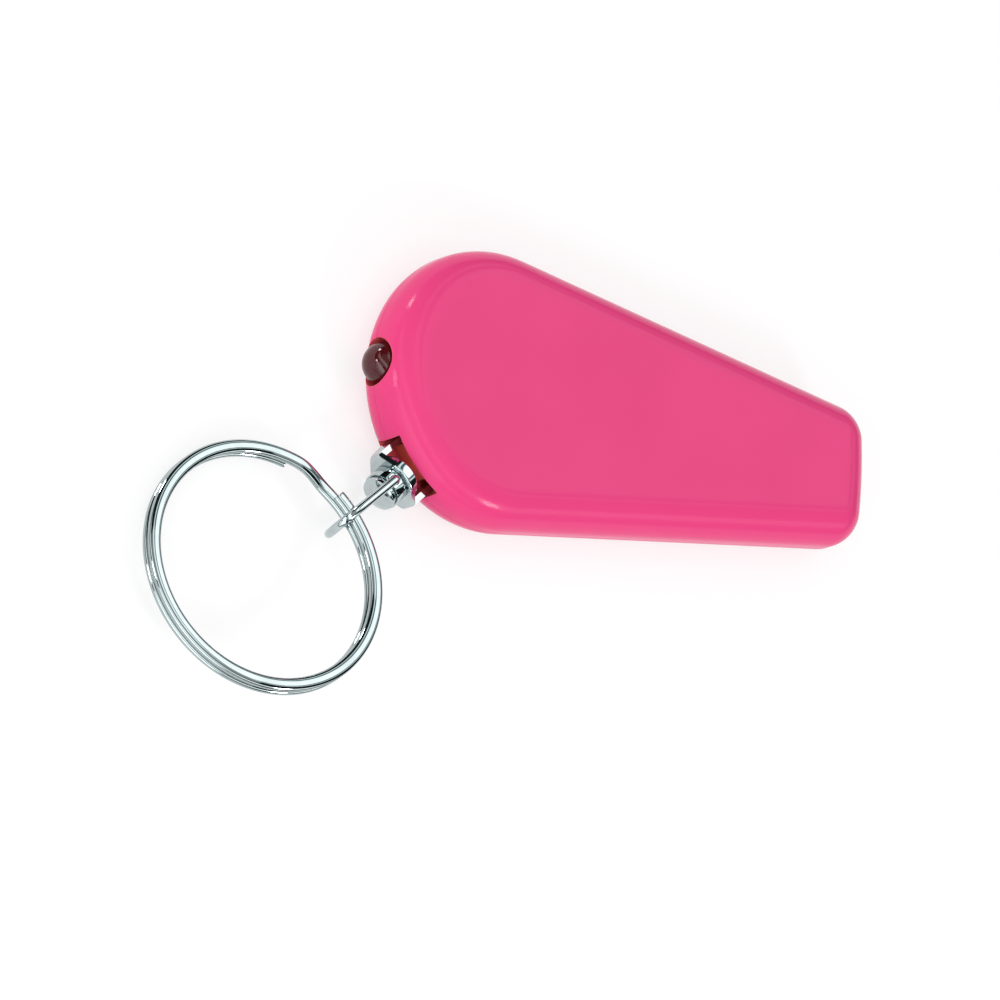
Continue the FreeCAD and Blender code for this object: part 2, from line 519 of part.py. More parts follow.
def make_bracket():
    """A clevis from one strap: round web, two wings, and ears folded back to straddle the lug."""
    radius = WEB_DIAMETER / 2
    web = Part.makeCylinder(radius, WEB_THICKNESS, V(WEB_INNER, 0, 0), V(1, 0, 0))
    web = web.makeFillet(WEB_EDGE, [e for e in web.Edges if e.BoundBox.XLength < 1e-6])
    half = EAR_SPAN / 2
    fold = FOLD_HEIGHT / 2
    touch = math.atan2(fold, half) + math.acos(radius / math.hypot(half, fold))
    quarter = [(half, fold), (radius * math.cos(touch), radius * math.sin(touch))]
    outline = quarter + [(-y, z) for y, z in reversed(quarter)]
    outline += [(-y, -z) for y, z in outline]
    corners = [V(WEB_OUTER - EAR_THICKNESS, y, z) for y, z in outline]
    wings = Part.Face(Part.makePolygon(corners + corners[:1])).extrude(V(EAR_THICKNESS, 0, 0))
    shape = web.fuse(wings)
    eye = EAR_HEIGHT / 2
    side_view = [V(WEB_OUTER, 0, fold), V(PIN_DISTANCE, 0, eye), V(PIN_DISTANCE, 0, -eye),
                 V(WEB_OUTER, 0, -fold)]
    blade = Part.Face(Part.makePolygon(side_view + side_view[:1])).extrude(V(0, EAR_THICKNESS, 0))
    blade = blade.fuse(Part.makeCylinder(eye, EAR_THICKNESS, V(PIN_DISTANCE, 0, 0), V(0, 1, 0)))
    for start in (-half, half - EAR_THICKNESS):
        ear = blade.copy()
        ear.translate(V(0, start, 0))
        shape = shape.fuse(ear)
    shape = shape.removeSplitter()
    bend = [e for e in shape.Edges if e.BoundBox.ZLength > FOLD_HEIGHT - 0.01
            and e.BoundBox.XMin > WEB_OUTER - 0.01 and e.BoundBox.YLength < 0.01]
    shape = shape.makeFillet(EAR_THICKNESS * 0.6, bend)
    bore = Part.makeCylinder(PIN_DIAMETER / 2 + PIN_CLEARANCE, 2 * EAR_SPAN,
                             V(PIN_DISTANCE, -EAR_SPAN, 0), V(0, 1, 0))
    spindle = Part.makeCylinder(SPINDLE_DIAMETER / 2 + SPINDLE_CLEARANCE, 3 * WEB_THICKNESS,
                                V(WEB_INNER - WEB_THICKNESS, 0, 0), V(1, 0, 0))
    return placed(shape.cut(bore).cut(spindle), swivel_place(0, SEAM_Z))


def make_stud():
    """A turned stud: rivet head, spindle, barrel with a groove and a domed end."""
    spindle = SPINDLE_DIAMETER / 2
    rivet = RIVET_DIAMETER / 2
    barrel = BARREL_DIAMETER / 2
    end = BARREL_END_DIAMETER / 2
    rivet_out = WEB_INNER - SPINDLE_CLEARANCE
    barrel_out = BARREL_START + BARREL_LENGTH
    groove_out = barrel_out + BARREL_GROOVE
    end_out = groove_out + BARREL_END_LENGTH
    chamfer = STUD_CHAMFER
    points = [(rivet_out - RIVET_THICKNESS, 0), (rivet_out - RIVET_THICKNESS, rivet - chamfer),
              (rivet_out - RIVET_THICKNESS + chamfer, rivet), (rivet_out, rivet),
              (rivet_out, spindle), (BARREL_START, spindle), (BARREL_START, barrel - chamfer),
              (BARREL_START + chamfer, barrel), (barrel_out, barrel),
              (barrel_out, end - BARREL_GROOVE), (groove_out, end - BARREL_GROOVE),
              (groove_out, end), (end_out, end)]
    corners = [V(x, y, 0) for x, y in points]
    edges = [Part.LineSegment(a, b).toShape() for a, b in zip(corners, corners[1:])]
    tip = V(end_out + DOME_RISE, 0, 0)
    ball = (end ** 2 + DOME_RISE ** 2) / (2 * DOME_RISE)
    half_turn = math.asin(end / ball) / 2
    middle = V(tip.x - ball * (1 - math.cos(half_turn)), ball * math.sin(half_turn), 0)
    edges.append(Part.Arc(corners[-1], middle, tip).toShape())
    edges.append(Part.LineSegment(tip, corners[0]).toShape())
    stud = Part.Face(Part.Wire(edges)).revolve(V(0, 0, 0), V(1, 0, 0), 360)
    stud = stud.cut(cylinder(LINK_HOLE_DIAMETER, -BARREL_DIAMETER, BARREL_DIAMETER,
                             LINK_HOLE_DISTANCE))
    return placed(stud, stud_place())


def link_place():
    """The link's own frame: its origin is on the hole axis and X runs along the link."""
    turn = FreeCAD.Placement(V(LINK_HOLE_DISTANCE, 0, 0), FreeCAD.Rotation(UP, LINK_YAW))
    return stud_place().multiply(turn)


def make_link():
    """A closed wire link: a straight bar through the stud, two legs and a round far end."""
    half = (LINK_WIDTH - LINK_WIRE) / 2
    corner = LINK_CORNER_RADIUS
    far = LINK_REACH - LINK_WIRE / 2 - half
    slant = corner * (1 - math.sqrt(0.5))
    edges = [
        Part.LineSegment(V(0, 0, -half + corner), V(0, 0, half - corner)).toShape(),
        Part.Arc(V(0, 0, half - corner), V(slant, 0, half - slant), V(corner, 0, half)).toShape(),
        Part.LineSegment(V(corner, 0, half), V(far, 0, half)).toShape(),
        Part.Arc(V(far, 0, half), V(far + half, 0, 0), V(far, 0, -half)).toShape(),
        Part.LineSegment(V(far, 0, -half), V(corner, 0, -half)).toShape(),
        Part.Arc(V(corner, 0, -half), V(slant, 0, -half + slant), V(0, 0, -half + corner)).toShape(),
    ]
    return placed(tube_along(Part.Wire(edges), LINK_WIRE / 2), link_place())


def ring_place():
    """The split ring's own frame: its X runs from the ring's centre towards the link."""
    inner_radius = RING_DIAMETER / 2 - RING_BAND
    link_half = LINK_WIDTH / 2 - LINK_WIRE
    wire_half = RING_WIRE_HEIGHT + RING_TURN_GAP / 2
    reach_up = RING_LIFT + wire_half + RING_BAND / 2 * math.sin(math.radians(abs(RING_ROLL)))
    round_off = link_half - math.sqrt(link_half ** 2 - reach_up ** 2)
    inner_edge = LINK_REACH - LINK_WIRE - round_off - RING_LINK_GAP
    wire_centre = inner_edge - RING_BAND / 2
    hang = FreeCAD.Placement(V(wire_centre, 0, RING_LIFT), FreeCAD.Rotation(V(1, 0, 0), RING_ROLL))
    fall = FreeCAD.Placement(V(0, 0, 0), FreeCAD.Rotation(V(0, 1, 0), RING_DESCENT))
    turn = FreeCAD.Placement(V(0, 0, 0), FreeCAD.Rotation(UP, RING_TURN))
    centre = FreeCAD.Placement(V(inner_radius + RING_BAND / 2, 0, 0), FreeCAD.Rotation(UP, 180))
    return link_place().multiply(hang).multiply(fall).multiply(turn).multiply(centre)


def ring_section(angle, height):
    """The flat oval wire's outline, standing across the ring at an angle and a height."""
    half = RING_WIRE_HEIGHT / 2
    edge = RING_WIRE_CORNER
    inner = RING_DIAMETER / 2 - RING_BAND
    outer = RING_DIAMETER / 2
    slant = edge * (1 - math.sqrt(0.5))
    low, high = height - half, height + half
    corners = [(inner, low, 1, 1), (outer, low, -1, 1), (outer, high, -1, -1), (inner, high, 1, -1)]
    edges = []
    previous = None
    first = None
    for index, (x, z, toward_x, toward_z) in enumerate(corners):
        along_x = V(x + toward_x * edge, 0, z)
        along_z = V(x, 0, z + toward_z * edge)
        start, stop = (along_z, along_x) if index % 2 == 0 else (along_x, along_z)
        middle = V(x + toward_x * slant, 0, z + toward_z * slant)
        if previous is not None:
            edges.append(Part.LineSegment(previous, start).toShape())
        else:
            first = start
        edges.append(Part.Arc(start, middle, stop).toShape())
        previous = stop
    edges.append(Part.LineSegment(previous, first).toShape())
    wire = Part.Wire(edges)
    wire.rotate(V(0, 0, 0), UP, angle)
    return wire


def make_split_ring():
    """Two full turns of one wire: the upper turn steps down to the lower one beside the link."""
    level = (RING_WIRE_HEIGHT + RING_TURN_GAP) / 2
    step_start = RING_END_ANGLE
    step_end = step_start + RING_STEP_ANGLE
    turn = 360 - RING_STEP_ANGLE - RING_END_GAP_ANGLE
    upper = Part.Face(ring_section(step_end, level)).revolve(V(0, 0, 0), UP, turn)
    lower = Part.Face(ring_section(step_start, -level)).revolve(V(0, 0, 0), UP, -turn)
    sections = []
    steps = 6
    for index in range(steps + 1):
        share = index / steps
        height = level * math.cos(math.pi * (1 - share))
        sections.append(ring_section(step_start + share * RING_STEP_ANGLE, height))
    step = Part.makeLoft(sections, True, False)
    return placed(upper.fuse([step, lower]).removeSplitter(), ring_place())


def make_screws():
    screws = []
    for x, y in SCREW_PLACES:
        under = SCREW_HEAD_SUNK + SCREW_HEAD_HEIGHT
        head = cylinder(SCREW_HEAD_DIAMETER, SCREW_HEAD_SUNK, under, x, y)
        rim = [e for e in head.Edges if abs(e.BoundBox.ZMax - SCREW_HEAD_SUNK) < 1e-6]
        head = head.makeFillet(SCREW_HEAD_EDGE, rim)
        taper = under + SCREW_LENGTH - SCREW_POINT_LENGTH
        shank = cylinder(SCREW_DIAMETER, under - SCREW_HEAD_HEIGHT / 2, taper, x, y)
        point = Part.makeCone(SCREW_DIAMETER / 2, SCREW_POINT_DIAMETER / 2, SCREW_POINT_LENGTH,
                              V(x, y, taper))
        screw = head.fuse([shank, point]).removeSplitter()
        drive = box(-DRIVE_LENGTH / 2, DRIVE_LENGTH / 2, -DRIVE_WIDTH / 2, DRIVE_WIDTH / 2,
                    0, SCREW_HEAD_SUNK + DRIVE_DEPTH)
        cross = drive.copy()
        cross.rotate(V(0, 0, 0), UP, 90)
        for slot in (drive, cross):
            slot.translate(V(x, y, 0))
            screw = screw.cut(slot)
        screws.append(screw)
    return Part.makeCompound(screws)


def make_parts():
    parts = make_shells()
    parts["inner_frame"] = make_inner_frame()
    parts["windway_insert"] = make_windway_insert()
    parts["led_lamp"] = make_led()
    parts["led_anode_lead"] = make_lead(1, CELL_TOP_Z)
    parts["led_cathode_lead"] = make_lead(-1, HOLDER_BASE_Z)
    parts["lower_cell"] = make_cell(CELL_BOTTOM_Z)
    parts["upper_cell"] = make_cell(CELL_BOTTOM_Z + CELL_HEIGHT)
    parts["positive_contact"] = contact(CELL_TOP_Z, 0, 1)
    parts["negative_contact"] = contact(HOLDER_BASE_Z - CONTACT_THICKNESS, CONTACT_RING_HOLE, -1)
    parts["push_button"] = make_button()
    parts["switch_dome"] = make_switch_dome()
    parts["case_screws"] = make_screws()
    parts["bracket_pin"] = make_pin()
    parts["swivel_bracket"] = make_bracket()
    parts["swivel_stud"] = make_stud()
    parts["link_ring"] = make_link()
    parts["split_ring"] = make_split_ring()
    return parts


def main():
    os.makedirs("parts", exist_ok=True)
    for name, shape in make_parts().items():
        shape.exportStep("parts/" + name + ".step")
        low, high = shape.BoundBox.ZMin, shape.BoundBox.ZMax
        print(name, "solids", len(shape.Solids), "valid", shape.isValid(),
              "volume %.2f" % shape.Volume, "z %.3f to %.3f" % (low, high))


if __name__ == "__main__":
    main()
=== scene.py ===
"""Whistle key chain: a glossy pink whistle with a small lamp, a swivel, a wire link and a split ring.

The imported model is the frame. X runs from the round end to the mouthpiece, Z is up through the
thickness, and every length is in metres; sizes of the new pieces are given in millimetres.
"""

import json
import math

import bmesh
import bpy
import numpy as np
from mathutils import Matrix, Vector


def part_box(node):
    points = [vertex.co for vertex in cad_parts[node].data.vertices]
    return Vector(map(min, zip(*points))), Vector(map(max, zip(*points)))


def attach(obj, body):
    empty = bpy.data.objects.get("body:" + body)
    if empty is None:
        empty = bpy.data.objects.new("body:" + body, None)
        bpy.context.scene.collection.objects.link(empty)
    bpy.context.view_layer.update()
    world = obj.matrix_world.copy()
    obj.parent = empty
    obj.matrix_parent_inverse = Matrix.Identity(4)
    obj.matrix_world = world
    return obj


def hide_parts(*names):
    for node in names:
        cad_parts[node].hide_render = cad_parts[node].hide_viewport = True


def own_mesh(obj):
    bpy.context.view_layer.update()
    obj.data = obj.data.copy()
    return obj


bl_info = {
    "name": "Whistle key chain",
    "version": (1, 0, 0),
    "blender": (4, 5, 0),
    "location": "View3D > Sidebar > Key chain",
    "description": "Dresses the packed whistle key chain and sets its studio",
    "category": "Object",
}

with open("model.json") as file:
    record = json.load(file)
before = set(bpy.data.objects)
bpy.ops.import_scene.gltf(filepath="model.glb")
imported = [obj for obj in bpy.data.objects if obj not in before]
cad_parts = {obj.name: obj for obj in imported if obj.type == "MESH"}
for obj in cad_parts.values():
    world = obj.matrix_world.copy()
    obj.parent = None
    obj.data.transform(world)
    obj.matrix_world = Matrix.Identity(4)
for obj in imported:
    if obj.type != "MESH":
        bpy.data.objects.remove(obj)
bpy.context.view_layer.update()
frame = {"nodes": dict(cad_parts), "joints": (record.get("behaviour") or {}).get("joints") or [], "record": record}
NODES = frame["nodes"]
JOINTS = {joint["name"]: joint for joint in frame["joints"]}
MM = 0.001
UP = np.array((0.0, 0.0, 1.0))

# The openings in the case, in millimetres, whose walls get a painted red glow: half the slot's
# width and height and its start along the swivel's axis, the lamp hole's radius and its inner end
# along X, and half the parting line's width.
SLOT_HALF_WIDTH = 3.97
SLOT_HALF_HEIGHT = 2.17
SLOT_START = 11.0
LAMP_HOLE_RADIUS = 2.83
LAMP_HOLE_END = -9.0
SEAM_HALF_WIDTH = 0.04

# Rounding of sharp edges, in millimetres, and the least angle between faces that counts as sharp.
CASE_EDGE = 0.1
SWIVEL_EDGE = 0.08
SHARP_DEG = 35.0

# Distances in metres within which points count as one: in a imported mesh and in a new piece, and the
# length under which an edge is dropped.
PACKED_JOIN = 1e-6
PIECE_JOIN = 1e-7
SHORT_EDGE = 1e-8

# Moulded plastic: size in millimetres and depth of its orange peel, which is drawn coarser than the
# real one so that it shows, how much its gloss varies, and its reflection at right angles.
PEEL_SIZE = 0.9
PEEL_DEPTH = 0.02
PEEL_STRENGTH = 0.04
PLASTIC_SPREAD = 0.03
PLASTIC_SPECULAR = 0.12

# Each metal: lighter and darker colour in sRGB hex, roughness, size of its rub marks in millimetres,
# and how much rougher the marks are. Real marks are hundredths of a millimetre wide and are drawn
# coarser, so that they show.
METALS = {
    # Polished plate on the cast swivel: the eye sees hard bands of light and dark.
    "bright nickel-chrome plate": dict(bright="BCC6C7", dull="B0BABC", roughness=0.05, mark=1.2,
                                       spread=0.03),
    # Polished plate on drawn wire: a bright and a dark line run along the wire.
    "bright plated wire": dict(bright="BCC6C7", dull="B0BABC", roughness=0.05, mark=1.2,
                               spread=0.03),
    # The same on the key ring's harder wire, a shade greyer.
    "bright plated spring wire": dict(bright="B0BABB", dull="A6B0B1", roughness=0.05, mark=2.5,
                                      spread=0.03),
    # Barrel-plated zinc: a soft bluish shine with dull spots.
    "zinc plated screw steel": dict(bright="B9BCC0", dull="8E9298", roughness=0.22, mark=0.5,
                                    spread=0.2),
    # Ground and burnished: an even grey shine.
    "ground pin steel": dict(bright="C6C8CC", dull="9FA3A8", roughness=0.16, mark=0.5, spread=0.1),
    # Cold-rolled and pressed: the same shine on a thin sheet.
    "snap dome spring steel": dict(bright="C6C8CC", dull="9FA3A8", roughness=0.16, mark=0.5,
                                   spread=0.1),
    # Drawn and plated cans: pale and slightly cloudy.
    "pressed cell steel": dict(bright="C9CACC", dull="B4B6B9", roughness=0.2, mark=0.8, spread=0.15),
    # Rolled strip: a warm yellow with faint clouds.
    "spring brass": dict(bright="D3B878", dull="B99C5A", roughness=0.25, mark=0.7, spread=0.15),
    # Hot-dipped tin on wire: a soft white-grey.
    "tinned lead wire": dict(bright="CFCFCC", dull="A9AAA8", roughness=0.3, mark=0.4, spread=0.15),
    # The same tin on the lamp's stamped frame, a little brighter.
    "tinned lead frame": dict(bright="CFCFCC", dull="A9AAA8", roughness=0.25, mark=0.4, spread=0.15),
}

# Points along the key ring's wire, round its section, and the scale of the last sections at each
# cut end, which close and round it.
RING_POINTS = 1200
RING_SECTION_POINTS = 60
RING_END_SCALES = (0.0, 0.75, 0.93)

# The camera's right and upward directions, the point it faces in millimetres, and its distance and
# clipping range in metres.
CAMERA_RIGHT = (0.7828, 0.0328, 0.6214)
CAMERA_OVER = (-0.1966, 0.9605, 0.1969)
CAMERA_TARGET = (3.394, -11.396, 2.99)
CAMERA_DISTANCE = 0.6
CAMERA_CLIP = (0.01, 10.0)

# What bright metal mirrors: stops of light and dark up to the direction BANDS_WAY, which is high and
# beyond the whistle, the ripple along the bands, and stops from the floor up that darken them.
BANDS_ACROSS = ((0.0, "D3DEE6"), (0.40, "EEF3F8"), (0.45, "F4F7F7"), (0.46, "0C0F10"),
                (0.52, "14191A"), (0.54, "5E6E70"), (0.585, "7F8F90"), (0.60, "F4F7F7"),
                (0.68, "FFFFFF"), (0.70, "0A0D0E"), (0.885, "14191A"), (0.90, "C8D2D2"),
                (0.92, "D8E0E0"), (0.93, "3C4A4D"), (0.962, "56666A"), (0.972, "F6F9F9"),
                (1.0, "FFFFFF"))
BANDS_UP = ((0.0, "E6ECEC"), (0.03, "C3CCCC"), (0.05, "101516"), (0.20, "1A2122"),
            (0.23, "8F9E9F"), (0.29, "A4B2B3"), (0.32, "FFFFFF"))
BANDS_WAY = (0.36, 0.50, 0.79)
RIPPLES = 3.0
RIPPLE_DEPTH = 0.05
MIRROR_STRENGTH = 2.1

# The floor: half its side in metres, its own grey, and the grey that is seen under the floor's glow.
FLOOR_HALF = 3.0
PAPER = (0.85, 0.85, 0.85, 1)
SEEN_PAPER = (0.36, 0.36, 0.36, 1)
WHITE = (1, 1, 1, 1)

# Lamps, in metres: size and place of the two soft ones; share of the power, size and direction from
# the camera's target of the small ones, which hang at one distance.
KEY_LAMP = dict(size=(0.8, 0.8), place=(-0.2, 0.0, 0.58))
FILL_LAMP = dict(size=(0.8, 0.36), place=(-0.44, -0.38, 0.21))
SMALL_LAMPS = (("small far lamp", 0.6, 0.07, (-0.5, 0.86, 0.09)),
               ("small left lamp", 0.5, 0.09, (-0.96, 0.09, 0.22)),
               ("small near lamp", 1.0, 0.09, (0.43, -0.70, 0.565)))
SMALL_LAMP_DISTANCE = 0.5


def as_linear(code):
    """Turns an sRGB hex colour into linear RGBA."""
    parts = np.array([int(code[i:i + 2], 16) for i in (0, 2, 4)]) / 255
    linear = np.where(parts <= 0.04045, parts / 12.92, ((parts + 0.055) / 1.055) ** 2.4)
    return (*linear.tolist(), 1.0)


def add_node(tree, kind, inputs=None, **settings):
    """Adds a node, sets its attributes, and fills or links its inputs."""
    made = tree.nodes.new(kind)
    for key, value in settings.items():
        setattr(made, key, value)
    for socket, value in (inputs or {}).items():
        if isinstance(value, bpy.types.NodeSocket):
            tree.links.new(value, made.inputs[socket])
        else:
            made.inputs[socket].default_value = value
    return made


def new_material(name):
    """An empty node material and its tree."""
    material = bpy.data.materials.new(name)
    material.use_nodes = True
    material.node_tree.nodes.clear()
    return material, material.node_tree


def fill_ramp(ramp_node, steps):
    """Sets a colour ramp's stops from pairs of position and sRGB hex colour."""
    ramp = ramp_node.color_ramp
    while len(ramp.elements) < len(steps):
        ramp.elements.new(0.5)
    for element, (position, colour) in zip(ramp.elements, steps):
        element.position = position
        element.color = as_linear(colour)


def on_parting_line(tree, place):
    """1 on a hair line where the two halves of the case meet, 0 elsewhere."""
    height = add_node(tree, "ShaderNodeSeparateXYZ", {"Vector": place}).outputs["Z"]
    near = {0: height, 1: seam_height() * MM, 2: SEAM_HALF_WIDTH * MM}
    return add_node(tree, "ShaderNodeMath", near, operation="COMPARE").outputs[0]


def painted_glow_in_openings(tree, place):
    """1 on the walls of the swivel slot and the lamp hole, where a red glow is painted, 0 elsewhere.

    The slot is a box on the swivel's axes and the hole a cylinder along X, both at the seam's height.
    """
    out = unit(JOINTS["stud_spin"]["axis"])
    along = np.cross(UP, out)
    reach, side = (add_node(tree, "ShaderNodeVectorMath", {0: place, 1: tuple(axis)},
                            operation="DOT_PRODUCT").outputs["Value"] for axis in (out, along))
    split = add_node(tree, "ShaderNodeSeparateXYZ", {"Vector": place}).outputs
    across = add_node(tree, "ShaderNodeVectorMath", {0: place, 1: (0, 1, 1)}, operation="MULTIPLY")
    middle = (0, lamp_tip()[0][1] * MM, seam_height() * MM)
    radius = add_node(tree, "ShaderNodeVectorMath", {0: across.outputs[0], 1: middle},
                      operation="DISTANCE").outputs["Value"]
    slot = (("COMPARE", side, 0.0, SLOT_HALF_WIDTH * MM),
            ("COMPARE", split["Z"], seam_height() * MM, SLOT_HALF_HEIGHT * MM),
            ("GREATER_THAN", reach, SLOT_START * MM))
    hole = (("LESS_THAN", radius, LAMP_HOLE_RADIUS * MM),
            ("LESS_THAN", split["X"], LAMP_HOLE_END * MM))
    masks = []
    for tests in (slot, hole):
        mask = 1.0
        for operation, *values in tests:
            test = add_node(tree, "ShaderNodeMath", dict(enumerate(values)), operation=operation)
            mask = add_node(tree, "ShaderNodeMath", {0: mask, 1: test.outputs[0]},
                            operation="MULTIPLY").outputs[0]
        masks.append(mask)
    return add_node(tree, "ShaderNodeMath", dict(enumerate(masks)), operation="MAXIMUM").outputs[0]


def moulded_plastic(name, light, deep, roughness, patch_mm, overlays=()):
    """Injection moulded ABS: one colour with a faint cloudiness and a slight orange peel.

    The eye sees an even, wet-looking colour. Each overlay is a mask and the colour that shows there:
    the cut walls of the slot and the lamp hole get a painted red glow, which stands in for light that
    thin pink ABS lets through, and a parting line is a hair line.
    """
    material, tree = new_material(name)
    place = add_node(tree, "ShaderNodeTexCoord").outputs["Object"]
    cloud = add_node(tree, "ShaderNodeTexNoise", {"Vector": place, "Scale": 1 / (patch_mm * MM),
                                                 "Detail": 2.0, "Roughness": 0.5})
    tint = add_node(tree, "ShaderNodeValToRGB", {"Fac": cloud.outputs["Fac"]})
    fill_ramp(tint, ((0.35, deep), (0.65, light)))
    colour = tint.outputs["Color"]
    for find_mask, laid_over in overlays:
        colour = add_node(tree, "ShaderNodeMix", {"Factor": find_mask(tree, place), "A": colour,
                                                  "B": as_linear(laid_over)},
                          data_type="RGBA").outputs["Result"]
    peel = add_node(tree, "ShaderNodeTexNoise", {"Vector": place, "Scale": 1 / (PEEL_SIZE * MM),
                                                "Detail": 1.0})
    bump = add_node(tree, "ShaderNodeBump", {"Height": peel.outputs["Fac"],
                                            "Strength": PEEL_STRENGTH, "Distance": PEEL_DEPTH * MM})
    shine = add_node(tree, "ShaderNodeMapRange", {"Value": cloud.outputs["Fac"], "To Min": roughness,
                                                 "To Max": roughness + PLASTIC_SPREAD})
    shader = add_node(tree, "ShaderNodeBsdfPrincipled", {
        "Base Color": colour, "Roughness": shine.outputs["Result"],
        "Normal": bump.outputs["Normal"], "IOR": 1.5, "Specular IOR Level": PLASTIC_SPECULAR})
    add_node(tree, "ShaderNodeOutputMaterial", {"Surface": shader.outputs[0]})
    return material


def shiny_metal(name):
    """A plated or bare metal of the list: bright, with fine rub marks in its colour and gloss."""
    metal = METALS[name]
    material, tree = new_material(name)
    place = add_node(tree, "ShaderNodeTexCoord").outputs["Object"]
    rub = add_node(tree, "ShaderNodeTexNoise", {"Vector": place, "Scale": 1 / (metal["mark"] * MM),
                                               "Detail": 3.0, "Roughness": 0.6})
    tint = add_node(tree, "ShaderNodeValToRGB", {"Fac": rub.outputs["Fac"]})
    fill_ramp(tint, ((0.3, metal["dull"]), (0.6, metal["bright"])))
    shine = add_node(tree, "ShaderNodeMapRange", {
        "Value": rub.outputs["Fac"], "To Min": metal["roughness"],
        "To Max": metal["roughness"] + metal["spread"]})
    shader = add_node(tree, "ShaderNodeBsdfPrincipled", {
        "Base Color": tint.outputs["Color"], "Roughness": shine.outputs["Result"], "Metallic": 1.0})
    add_node(tree, "ShaderNodeOutputMaterial", {"Surface": shader.outputs[0]})
    return material


def cast_epoxy(tint):
    """Clear casting epoxy of a small lamp, its clear body painted a dark red: painted shade and painted refraction
    of the red moulding round it.

    The eye sees a dark red, wet-looking drop with a bright window in it. The haze of its gloss, about
    a tenth of this size in life, is drawn coarser so that it shows.
    """
    haze_mm = 1.5
    material, tree = new_material("clear casting epoxy")
    place = add_node(tree, "ShaderNodeTexCoord").outputs["Object"]
    haze = add_node(tree, "ShaderNodeTexNoise", {"Vector": place, "Scale": 1 / (haze_mm * MM)})
    shine = add_node(tree, "ShaderNodeMapRange", {"Value": haze.outputs["Fac"], "To Min": 0.02,
                                                 "To Max": 0.06})
    shader = add_node(tree, "ShaderNodeBsdfPrincipled", {
        "Base Color": as_linear(tint), "Roughness": shine.outputs["Result"], "IOR": 1.54,
        "Specular IOR Level": 0.25, "Transmission Weight": 0.65})
    add_node(tree, "ShaderNodeOutputMaterial", {"Surface": shader.outputs[0]})
    return material


def dress(node, material):
    """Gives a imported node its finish."""
    mesh = NODES[node].data
    mesh.materials.clear()
    mesh.materials.append(material)


def soften_edges(node, width_mm, segments=3):
    """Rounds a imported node's sharp edges by modifiers; its own mesh is left as it is."""
    piece = NODES[node]
    weld = piece.modifiers.new("Join", "WELD")
    weld.merge_threshold = PACKED_JOIN
    bevel = piece.modifiers.new("Edge", "BEVEL")
    bevel.width = width_mm * MM
    bevel.segments = segments
    bevel.limit_method = "ANGLE"
    bevel.angle_limit = math.radians(SHARP_DEG)
    bevel.harden_normals = True


def unit(vector):
    """The vector at length 1."""
    return np.asarray(vector, float) / np.linalg.norm(vector)


def grid_faces(rows, columns):
    """Quads between neighbours of a grid whose point (r, c) has number r * columns + c.

    A row runs round the form, so its last point is the first one's neighbour.
    """
    r = np.arange(rows - 1)[:, None]
    c = np.arange(columns)[None, :]
    next_r = r + 1
    next_c = (c + 1) % columns
    corners = (r * columns + c, next_r * columns + c, next_r * columns + next_c, r * columns + next_c)
    return np.stack([np.broadcast_to(k, (r.size, c.size)).ravel() for k in corners], 1)


def add_piece(name, points, faces, material, body, smooth_deg=40.0):
    """Makes a mesh object at the origin that rides on a body.

    Points that fall together are joined, so seams and poles close, and the signed volume, a sixth
    of the sum over triangles of a . (b x c), turns the faces outwards.
    """
    mesh = bpy.data.meshes.new(name)
    mesh.from_pydata((points * MM).tolist(), [], faces.tolist())
    shape = bmesh.new()
    shape.from_mesh(mesh)
    bmesh.ops.remove_doubles(shape, verts=shape.verts, dist=PIECE_JOIN)
    bmesh.ops.dissolve_degenerate(shape, edges=shape.edges, dist=SHORT_EDGE)
    if shape.calc_volume(signed=True) < 0:
        bmesh.ops.reverse_faces(shape, faces=shape.faces)
    shape.to_mesh(mesh)
    shape.free()
    mesh.shade_smooth()
    mesh.set_sharp_from_angle(angle=math.radians(smooth_deg))
    mesh.materials.append(material)
    piece = bpy.data.objects.new(name, mesh)
    bpy.context.scene.collection.objects.link(piece)
    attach(piece, body)
    return piece


def lathe(profile, origin, axis, turns=96):
    """A turned form: point (i, k) = origin + x_i axis + r_i (cos a_k e1 + sin a_k e2)."""
    axis = unit(axis)
    side = unit(np.cross(axis, UP)) if abs(axis[2]) < 0.9 else np.array((1.0, 0.0, 0.0))
    other = np.cross(axis, side)
    x, r = np.asarray(profile, float).T
    angle = np.linspace(0, 2 * np.pi, turns, endpoint=False)
    ring = np.cos(angle)[:, None] * side + np.sin(angle)[:, None] * other
    points = origin + x[:, None, None] * axis + r[:, None, None] * ring
    return points.reshape(-1, 3), grid_faces(len(x), turns)


def arc(centre, radius, start_deg, stop_deg, count):
    """Points of a plane arc, centre + radius (cos a, sin a)."""
    angle = np.radians(np.linspace(start_deg, stop_deg, count))
    return np.stack([centre[0] + radius * np.cos(angle), centre[1] + radius * np.sin(angle)], 1)


def rounded_corners(corners, radii, count=6):
    """A plane polyline whose inner corners become arcs of the given radii."""
    corners = np.asarray(corners, float)
    made = [corners[:1]]
    for before, corner, after, radius in zip(corners, corners[1:], corners[2:], radii):
        back, on = unit(before - corner), unit(after - corner)
        half = math.acos(np.clip(back @ on, -1, 1)) / 2
        reach = radius / math.tan(half)
        centre = corner + unit(back + on) * radius / math.sin(half)
        share = np.linspace(0, 1, count)[:, None]
        chord = (corner + back * reach) * (1 - share) + (corner + on * reach) * share
        spokes = chord - centre
        made.append(centre + radius * spokes / np.linalg.norm(spokes, axis=1)[:, None])
    made.append(corners[-1:])
    return np.concatenate(made)


def lamp_tip():
    """The point of the lamp's dome and the lamp's length, in millimetres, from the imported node."""
    low, high = (np.array(corner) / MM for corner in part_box("led_lamp"))
    return np.array((low[0], (low[1] + high[1]) / 2, (low[2] + high[2]) / 2)), high[0] - low[0]


def joint_point(name):
    """A joint's place in millimetres."""
    return np.array(JOINTS[name]["pos_m"]) / MM


